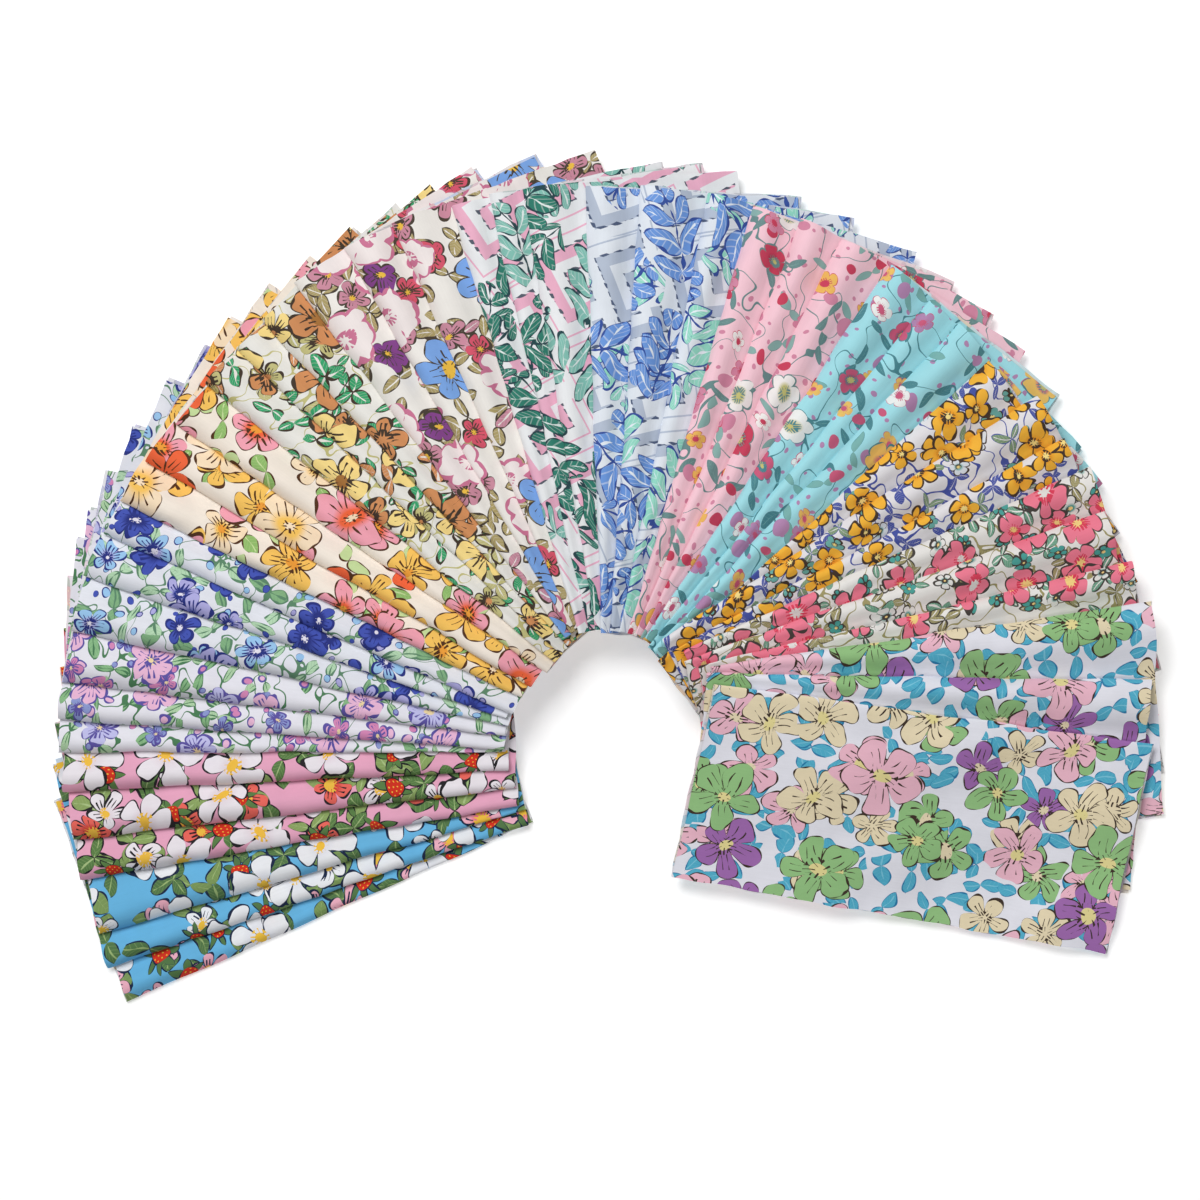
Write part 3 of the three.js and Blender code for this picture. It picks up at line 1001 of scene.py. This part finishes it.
def blue_and_pink_garden(cloth):
    """Big blue flowers and pale ones outlined in pink, with olive leaves."""
    c = cloth.colours
    small = (c.crimson, c.rose, c.purple, c.rose)
    cloth.leaves(21, 1.1, 12.5, 7.2, (c.leaf,), c.ground, share=0.95, count=2.0, pen=1.1)
    cloth.leaves(29, 2.4, 11.5, 7.2, (c.leaf, c.rose), c.ground, share=0.75, pen=1.1)
    cloth.flowers(29, 0.6, 11, small, share=0.75, plump=0.9, pen=1.0)
    cloth.flowers(
        42, 2.0, 17.5, (c.pale,), heart=c.pale, ink=c.outline, share=0.8, petals=7.0, plump=0.8, pen=1.8,
        strokes=0.0, unevenness=0.5,
    )
    cloth.flowers(56, 0.3, 20, (c.blue,), share=0.6, heart_size=0.24, plump=0.85, unevenness=0.4)


def leafy_bands(cloth):
    """Feathery sprays of leaves over square bands."""
    c = cloth.colours
    small = (c.leaf_pale, c.leaf)
    large = (c.leaf, c.leaf_pale, c.leaf)
    cloth.bands(56, 0.35, 27, 13, c.band, c.dash, width=0.5, pen=1.5)
    cloth.sprays(37, 1.2, 18, 13, 9.5, 12, small, c.vein, c.ink, share=0.6, pen=1.2)
    cloth.sprays(50, 2.3, 27, 18, 12.5, 14.5, large, c.vein, c.ink, share=0.85, pen=1.3)


def berry_garden(cloth):
    """Round flowers and berries with slim leaves and dots, on a strong ground."""
    c = cloth.colours
    large_deep = (c.crimson_deep, c.heart, c.crimson)
    cloth.rounds(11, 0.9, 1.5, (c.dot,), share=0.8)
    cloth.stems(30, 0.7, c.leaf)
    cloth.leaves(
        24, 2.0, 12, 4.6, (c.leaf, c.leaf_light), c.leaf_light, c.leaf, share=0.85, count=2.0, pen=0.2
    )
    cloth.rounds(20, 1.4, 4, (c.crimson, c.dot), share=0.55)
    cloth.flowers(
        27, 0.4, 6.5, (c.white, c.yellow, c.dot), heart=c.crimson, ink=c.crimson, share=0.65, pen=0.3,
        heart_size=0.3, plump=0.9, strokes=0.0,
    )
    cloth.flowers(
        40, 2.9, 10.5, (c.crimson, c.white, c.yellow), large_deep, ink=c.leaf, share=0.6, plump=0.98,
        heart_size=0.26, pen=0.6, strokes=0.0, unevenness=0.4,
    )


def marigolds(cloth):
    """Golden flowers on blue stems with small leaves."""
    c = cloth.colours
    tiny = (c.small, c.small_white)
    cloth.stems(15, 1.2, c.stem)
    cloth.leaves(15, 0.7, 8.5, 4, (c.stem, c.leaf, c.stem), c.ground, c.stem, share=0.9, pen=0.4)
    cloth.flowers(20, 1.8, 5.8, tiny, (c.small,), share=0.6, pen=0.7, plump=0.9, strokes=0.0)
    cloth.flowers(
        25, 2.5, 10.3, (c.petal,), (c.petal_deep,), share=0.95, plump=0.86, pen=1.0, strokes=0.0,
        unevenness=0.45,
    )
    cloth.flowers(
        41, 0.9, 13, (c.petal,), (c.petal_deep,), share=0.65, plump=0.85, pen=1.1, strokes=0.0,
        unevenness=0.5,
    )


def primroses(cloth):
    """Rose pink flowers with dotted hearts, small teal flowers and olive stems."""
    c = cloth.colours
    tiny = (c.small, c.small_white)
    cloth.stems(15, 1.1, c.stem)
    cloth.leaves(17, 0.7, 8.5, 4.4, (c.leaf, c.stem), c.ground, share=0.9)
    cloth.flowers(20, 2.8, 6, tiny, (c.small,), share=0.85, plump=0.9, pen=0.8, strokes=0.0)
    cloth.flowers(
        32, 1.5, 12.5, (c.petal,), stamen=c.red, share=0.9, plump=0.88, pen=1.0, heart_size=0.26,
        strokes=0.0, unevenness=0.45,
    )
    cloth.flowers(
        48, 0.4, 15, (c.petal,), heart=c.small_white, stamen=c.red, share=0.55, plump=0.86, pen=1.1,
        heart_size=0.24, strokes=0.0, unevenness=0.5,
    )


def pastel_flowers(cloth):
    """Large loose flowers in soft colours, with small bright leaves."""
    c = cloth.colours
    small = (c.pink, c.cream, c.purple, c.pink, c.green)
    middling = (c.green, c.pink, c.purple, c.pink, c.cream, c.pink)
    cloth.leaves(18, 1.9, 12.5, 7.6, (c.leaf,), c.leaf_light, c.leaf_dark, share=0.9, count=2.0)
    cloth.leaves(25, 0.4, 12, 7.6, (c.leaf,), c.leaf_light, c.leaf_dark, share=0.85, count=1.0)
    cloth.flowers(36, 0.6, 17, small, heart=c.cream, share=0.95)
    cloth.flowers(47, 2.3, 20.5, middling, share=0.9, unevenness=0.5)
    cloth.flowers(67, 1.3, 24, (c.pink, c.green, c.pink), share=0.5, heart_size=0.18)


def print_and_lay(context, name, drawing):
    """Draws a print in the colours that are set for it, and lays its three squares."""
    cloth = Print(name, getattr(context.scene, f"fabric_fan_{name}"))
    drawing(cloth)
    lay_print(name, cloth.finish())
    return {"FINISHED"}


def colour(name, code):
    """A colour that a user may change."""
    description = f"The colour called {name.lower()} in this print"
    return FloatVectorProperty(
        name=name, description=description, subtype="COLOR", size=3, default=linear(code), min=0, max=1
    )


def amount(name, description, default, low, high, unit="LENGTH"):
    """A number that a user may change between two ends, in metres if nothing else is said."""
    return FloatProperty(name=name, description=description, default=default, min=low, max=high, unit=unit)


# The colours of each print, as screen colours.
COLOURS = {
    "blue_strawberry": dict(
        ground="6ab8e5", petal="eef0f4", petal_deep="e4e6ee", blossom="f2b4c6", blossom_deep="f0788a",
        heart="f3c544", berry="d8341f", leaf="7d9a5b", leaf_dark="55794a", leaf_light="9db877",
        ink="1d2a48",
    ),
    "pink_strawberry": dict(
        ground="eaa9c4", petal="eee8ee", petal_deep="e8dce4", blossom="ee6a5f", blossom_deep="d8413a",
        heart="f3c148", berry="d3321f", leaf="8ba562", leaf_dark="5c8149", leaf_light="a9c285",
        ink="262428",
    ),
    "lilac_sprig": dict(
        ground="e9e8f0", petal="c3c2ec", petal_pink="ecbbd8", heart="f0d9a8", bud="8f9cd2",
        bud_pink="d88ab8", leaf="8dbd8a", leaf_pale="b4d6ac", stem="4d7f58", ink="5f55a4",
    ),
    "white_and_blue": dict(
        ground="e6e8f0", blue="4657b5", lavender="b3b0e4", light_blue="9cc8ee", heart="e8e4f2",
        leaf="86b586", leaf_pale="b9dcb8", stem="5f8a6c", ink="2c3682",
    ),
    "gold_and_orange": dict(
        ground="f7ecdf", gold="fbc863", coral="f2693f", pink="f5a6b6", peach="fbe3c2", heart="f0a03c",
        leaf="93bf6e", leaf_pale="c9dfa0", ink="55341f",
    ),
    "cream_and_green": dict(
        ground="eceae4", petal="fbdf8f", tan="d5925f", khaki="c6c083", leaf="3aa66f", heart="a9743c",
        ink="463a30",
    ),
    "cream_and_blue": dict(
        ground="f2eee8", blue="7fabea", pale="f4eae8", rose="cf8fa2", crimson="dc5a70", purple="88488f",
        leaf="b0a06c", heart="f1c24b", outline="cf7898", ink="4d4339",
    ),
    "teal_and_pink": dict(
        ground="eef0f2", band="efb3cb", dash="59606e", leaf="34806f", leaf_pale="86c3b6", vein="e4efec",
        ink="2c4a50",
    ),
    "blue_and_mint": dict(
        ground="e6ecf4", band="b9c4d6", dash="54617e", leaf="6f9be0", leaf_pale="98dfcb", vein="eaf2fa",
        ink="3a539e",
    ),
    "pink_berry": dict(
        ground="facdd9", crimson="cd4560", crimson_deep="a82f4c", white="f6f0ee", yellow="efbc62",
        dot="d78ba6", heart="c9c27a", leaf="6d8f8f", leaf_light="8db3ae",
    ),
    "aqua_berry": dict(
        ground="a6e3ec", crimson="cf5f80", crimson_deep="b04468", white="f2f4f2", yellow="efc46a",
        dot="b78ab4", heart="c9c27a", leaf="4f8a94", leaf_light="7fb6b2",
    ),
    "white_and_yellow": dict(
        ground="eae7ea", petal="fbbb3f", petal_deep="f2a02c", small="6fb0a8", small_white="dfe4ea",
        heart="fbe08c", leaf="7f9a76", stem="4a57a6", ink="4a3a30",
    ),
    "white_and_rose": dict(
        ground="efece8", petal="f58299", red="e2455f", small="4fa59c", small_white="e8e6e2",
        heart="fbd98a", leaf="6fa58a", stem="a39a6a", ink="4a4440",
    ),
    "pastel_bloom": dict(
        ground="eeeef7", purple="a56fb4", green="98c787", pink="f4bfd0", cream="efe0bd", leaf="55b4d2",
        leaf_light="7fcbe2", leaf_dark="2b7fae", heart="ecdf9c", ink="42342b",
    ),
}


def colour_group(print_name, codes):
    """The settings that hold one print's colours."""
    annotations = {name: colour(name.replace("_", " ").title(), code) for name, code in codes.items()}
    class_name = print_name.title().replace("_", "") + "Colours"
    return type(class_name, (PropertyGroup,), {"__annotations__": annotations})


COLOUR_GROUPS = {print_name: colour_group(print_name, codes) for print_name, codes in COLOURS.items()}


# The photograph's frame, in metres from the scene's origin.
PHOTO_CENTRE = (-0.0049, -0.0131)
PHOTO_WIDTH = 0.689

# The width of the camera's film, in millimetres.
FILM_WIDTH = 36

# How bright the backdrop is where the camera sees past the table.
BACKDROP_STRENGTH = 0.75


class FanSettings(PropertyGroup):
    """The sizes that all the squares share."""

    thickness: amount("Cloth Thickness", "How thick the cotton is", 0.00055, 0.0003, 0.001)
    shoulder: amount("Fold Shoulder", "How far from a fold the upper layer is rounded", 0.0065, 0.001, 0.02)
    fold_waver: amount("Fold Waver", "How far a fold strays from straight", 0.0008, 0, 0.003)
    edge_waver: amount("Edge Waver", "How far a cut edge strays from straight", 0.0008, 0, 0.003)
    puff: amount("Puff", "How high the cloth rises between two folds at the most", 0.0065, 0, 0.008)
    puff_share: amount("Puff Share", "The rise as a share of the room between folds", 0.27, 0, 0.4, "NONE")
    rumple: amount("Rumple", "The height of the gentle waves in every layer", 0.0003, 0, 0.0004)
    top_ridges: amount("Top Ridges", "The height of the soft ridges in the top square", 0.0045, 0, 0.006)
    free_room: amount("Free Room", "How far the top square's cloth is free to rise", 0.12, 0.05, 0.13)


class StageSettings(PropertyGroup):
    """The table, the lights and the camera."""

    table_colour: FloatVectorProperty(
        name="Table Colour", description="The plain table top", subtype="COLOR", size=3,
        default=(0.86, 0.86, 0.86), min=0, max=1,
    )
    table_glow: amount("Table Glow", "The light that the table top gives of itself", 0.36, 0, 1, "NONE")
    light: amount("Light", "The power of the soft light above the table", 62, 0, 1000, "POWER")
    side_light: amount("Side Light", "The power of the light from the side", 15, 0, 1000, "POWER")
    sky: amount("Room Light", "The strength of the light from all round", 0.11, 0, 3, "NONE")
    camera_height: amount("Camera Height", "How high the camera hangs over the table", 2.3, 1, 6)


def table_top(top_colour, glow):
    """A plain pale top, which glows a little, as a lit studio table does."""
    material = bpy.data.materials.new("table_top")
    material.use_nodes = True
    shader = material.node_tree.nodes["Principled BSDF"]
    shader.inputs["Base Color"].default_value = (*top_colour, 1)
    shader.inputs["Roughness"].default_value = 0.6
    shader.inputs["Emission Color"].default_value = (1, 1, 1, 1)
    shader.inputs["Emission Strength"].default_value = glow
    return material


def area_light(name, power, size, place, aim):
    """Adds one soft square light that faces a point on the table."""
    way = Vector(aim) - Vector(place)
    facing = way.to_track_quat("-Z", "Y").to_euler()
    bpy.ops.object.light_add(type="AREA", location=place, rotation=facing)
    light = bpy.context.object
    light.name = name
    light.data.energy = power
    light.data.size = size


def light_room(tree, strength):
    """Lights the scene softly from all round, in front of a backdrop that is plain and pale."""
    soft = tree.nodes["Background"]
    soft.inputs["Color"].default_value = (1, 1, 1, 1)
    soft.inputs["Strength"].default_value = strength
    backdrop = tree.nodes.new("ShaderNodeBackground")
    backdrop.inputs["Color"].default_value = (1, 1, 1, 1)
    backdrop.inputs["Strength"].default_value = BACKDROP_STRENGTH
    rays = tree.nodes.new("ShaderNodeLightPath")
    choice = tree.nodes.new("ShaderNodeMixShader")
    tree.links.new(rays.outputs["Is Camera Ray"], choice.inputs[0])
    tree.links.new(soft.outputs[0], choice.inputs[1])
    tree.links.new(backdrop.outputs[0], choice.inputs[2])
    tree.links.new(choice.outputs[0], tree.nodes["World Output"].inputs["Surface"])


class FABRIC_FAN_OT_set_stage(Operator):
    """Sets up the table, the soft lights and the camera straight above"""

    bl_idname = "fabric_fan.set_stage"
    bl_label = "Table, Lights and Camera"

    def execute(self, context):
        stage = context.scene.fabric_fan_stage
        bpy.ops.object.select_all(action="DESELECT")
        bpy.ops.mesh.primitive_plane_add(size=12, location=(0, 0, 0))
        table = context.object
        table.name = table.data.name = "table"
        table.data.materials.append(table_top(stage.table_colour, stage.table_glow))
        area_light("light_above", stage.light, 1.3, (-0.8, 1.35, 2.3), (0, 0, 0))
        area_light("light_side", stage.side_light, 1.4, (0.9, -1.6, 2.0), (0, -0.1, 0))
        world = context.scene.world or bpy.data.worlds.new("room")
        context.scene.world = world
        world.use_nodes = True
        light_room(world.node_tree, stage.sky)
        bpy.ops.object.camera_add(location=(*PHOTO_CENTRE, stage.camera_height), rotation=(0, 0, 0))
        camera = context.object
        camera.name = "camera"
        camera.data.sensor_width = FILM_WIDTH
        camera.data.lens = FILM_WIDTH * stage.camera_height / PHOTO_WIDTH
        context.scene.camera = camera
        context.scene.view_settings.view_transform = "Standard"
        return {"FINISHED"}


class FABRIC_FAN_OT_blue_strawberry(Operator):
    """Prints and lays the three squares called Blue Strawberry"""

    bl_idname = "fabric_fan.blue_strawberry"
    bl_label = "Blue Strawberry"

    def execute(self, context):
        return print_and_lay(context, "blue_strawberry", strawberry_garden)


class FABRIC_FAN_OT_pink_strawberry(Operator):
    """Prints and lays the three squares called Pink Strawberry"""

    bl_idname = "fabric_fan.pink_strawberry"
    bl_label = "Pink Strawberry"

    def execute(self, context):
        return print_and_lay(context, "pink_strawberry", strawberry_garden)


class FABRIC_FAN_OT_lilac_sprig(Operator):
    """Prints and lays the three squares called Lilac Sprig"""

    bl_idname = "fabric_fan.lilac_sprig"
    bl_label = "Lilac Sprig"

    def execute(self, context):
        return print_and_lay(context, "lilac_sprig", lilac_sprigs)


class FABRIC_FAN_OT_white_and_blue(Operator):
    """Prints and lays the three squares called White and Blue"""

    bl_idname = "fabric_fan.white_and_blue"
    bl_label = "White and Blue"

    def execute(self, context):
        return print_and_lay(context, "white_and_blue", blue_garden)


class FABRIC_FAN_OT_gold_and_orange(Operator):
    """Prints and lays the three squares called Gold and Orange"""

    bl_idname = "fabric_fan.gold_and_orange"
    bl_label = "Gold and Orange"

    def execute(self, context):
        return print_and_lay(context, "gold_and_orange", golden_bloom)


class FABRIC_FAN_OT_cream_and_green(Operator):
    """Prints and lays the three squares called Cream and Green"""

    bl_idname = "fabric_fan.cream_and_green"
    bl_label = "Cream and Green"

    def execute(self, context):
        return print_and_lay(context, "cream_and_green", meadow)


class FABRIC_FAN_OT_cream_and_blue(Operator):
    """Prints and lays the three squares called Cream and Blue"""

    bl_idname = "fabric_fan.cream_and_blue"
    bl_label = "Cream and Blue"

    def execute(self, context):
        return print_and_lay(context, "cream_and_blue", blue_and_pink_garden)


class FABRIC_FAN_OT_teal_and_pink(Operator):
    """Prints and lays the three squares called Teal and Pink"""

    bl_idname = "fabric_fan.teal_and_pink"
    bl_label = "Teal and Pink"

    def execute(self, context):
        return print_and_lay(context, "teal_and_pink", leafy_bands)


class FABRIC_FAN_OT_blue_and_mint(Operator):
    """Prints and lays the three squares called Blue and Mint"""

    bl_idname = "fabric_fan.blue_and_mint"
    bl_label = "Blue and Mint"

    def execute(self, context):
        return print_and_lay(context, "blue_and_mint", leafy_bands)


class FABRIC_FAN_OT_pink_berry(Operator):
    """Prints and lays the three squares called Pink Berry"""

    bl_idname = "fabric_fan.pink_berry"
    bl_label = "Pink Berry"

    def execute(self, context):
        return print_and_lay(context, "pink_berry", berry_garden)


class FABRIC_FAN_OT_aqua_berry(Operator):
    """Prints and lays the three squares called Aqua Berry"""

    bl_idname = "fabric_fan.aqua_berry"
    bl_label = "Aqua Berry"

    def execute(self, context):
        return print_and_lay(context, "aqua_berry", berry_garden)


class FABRIC_FAN_OT_white_and_yellow(Operator):
    """Prints and lays the three squares called White and Yellow"""

    bl_idname = "fabric_fan.white_and_yellow"
    bl_label = "White and Yellow"

    def execute(self, context):
        return print_and_lay(context, "white_and_yellow", marigolds)


class FABRIC_FAN_OT_white_and_rose(Operator):
    """Prints and lays the three squares called White and Rose"""

    bl_idname = "fabric_fan.white_and_rose"
    bl_label = "White and Rose"

    def execute(self, context):
        return print_and_lay(context, "white_and_rose", primroses)


class FABRIC_FAN_OT_pastel_bloom(Operator):
    """Prints and lays the three squares called Pastel Bloom"""

    bl_idname = "fabric_fan.pastel_bloom"
    bl_label = "Pastel Bloom"

    def execute(self, context):
        return print_and_lay(context, "pastel_bloom", pastel_flowers)


class FABRIC_FAN_PT_panel(Panel):
    """Lists the steps that make the fan"""

    bl_idname = "FABRIC_FAN_PT_panel"
    bl_label = "Fabric Fan"
    bl_space_type = "VIEW_3D"
    bl_region_type = "UI"
    bl_category = "Fabric Fan"

    def draw(self, context):
        for settings in (context.scene.fabric_fan, context.scene.fabric_fan_stage):
            for name in settings.__annotations__:
                self.layout.prop(settings, name)
        self.layout.operator(FABRIC_FAN_OT_set_stage.bl_idname)
        for print_name in PRINTS:
            self.layout.operator(f"fabric_fan.{print_name}")
            colours = getattr(context.scene, f"fabric_fan_{print_name}")
            for name in colours.__annotations__:
                self.layout.prop(colours, name)


CLASSES = (
    FanSettings,
    StageSettings,
    *COLOUR_GROUPS.values(),
    FABRIC_FAN_OT_set_stage,
    FABRIC_FAN_OT_blue_strawberry,
    FABRIC_FAN_OT_pink_strawberry,
    FABRIC_FAN_OT_lilac_sprig,
    FABRIC_FAN_OT_white_and_blue,
    FABRIC_FAN_OT_gold_and_orange,
    FABRIC_FAN_OT_cream_and_green,
    FABRIC_FAN_OT_cream_and_blue,
    FABRIC_FAN_OT_teal_and_pink,
    FABRIC_FAN_OT_blue_and_mint,
    FABRIC_FAN_OT_pink_berry,
    FABRIC_FAN_OT_aqua_berry,
    FABRIC_FAN_OT_white_and_yellow,
    FABRIC_FAN_OT_white_and_rose,
    FABRIC_FAN_OT_pastel_bloom,
    FABRIC_FAN_PT_panel,
)


def register():
    for each in CLASSES:
        bpy.utils.register_class(each)
    bpy.types.Scene.fabric_fan = PointerProperty(type=FanSettings)
    bpy.types.Scene.fabric_fan_stage = PointerProperty(type=StageSettings)
    for print_name, colours in COLOUR_GROUPS.items():
        setattr(bpy.types.Scene, f"fabric_fan_{print_name}", PointerProperty(type=colours))


def unregister():
    for print_name in COLOUR_GROUPS:
        delattr(bpy.types.Scene, f"fabric_fan_{print_name}")
    del bpy.types.Scene.fabric_fan_stage
    del bpy.types.Scene.fabric_fan
    for each in reversed(CLASSES):
        bpy.utils.unregister_class(each)


def main():
    """Makes the stage and all the squares, in the order in which they are laid."""
    register()
    bpy.ops.fabric_fan.set_stage()
    for print_name in PRINTS:
        getattr(bpy.ops.fabric_fan, print_name)()


if __name__ == "__main__":
    main()
